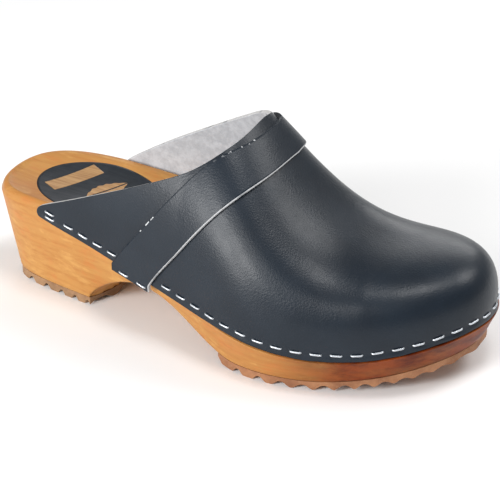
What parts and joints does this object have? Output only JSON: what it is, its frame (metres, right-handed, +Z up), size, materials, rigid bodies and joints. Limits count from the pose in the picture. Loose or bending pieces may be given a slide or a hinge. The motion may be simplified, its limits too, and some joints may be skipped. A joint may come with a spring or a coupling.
{
  "type": "wooden clog",
  "caption": "Slip-on clog for the right foot: carved wooden sole on two ribbed treads, with an open-backed leather upper, an instep strap and wire staples.",
  "frame": {"origin": "on the ground under the middle of the whole clog", "axes": "+X from the heel to the toe, +Y towards the inner side of the foot, +Z up"},
  "size_m": [0.2635, 0.1092, 0.1066],
  "materials": {
    "wood": "clear satin lacquer on alder",
    "rubber": "matt, slightly translucent crepe",
    "leather": "smooth, semi-gloss, suede inside",
    "strap_leather": "smooth, semi-gloss",
    "stiffener": "stiffened non-woven",
    "print": "matt printed film",
    "staple_wire": "bright"
  },
  "bodies": {
    "root": {"wooden_sole": "wood", "heel_tread": "rubber", "forefoot_tread": "rubber", "upper": "leather", "instep_strap": "strap_leather", "toe_puff": "stiffener", "insole_print": "print", "staples_tip_lateral": "staple_wire", "staples_quarter_lateral": "staple_wire", "staples_strap_lateral": "staple_wire", "staples_vamp_lateral": "staple_wire", "staples_toe": "staple_wire", "staples_vamp_medial": "staple_wire", "staples_strap_medial": "staple_wire", "staples_quarter_medial": "staple_wire", "staples_tip_medial": "staple_wire"}
  },
  "joints": []
}
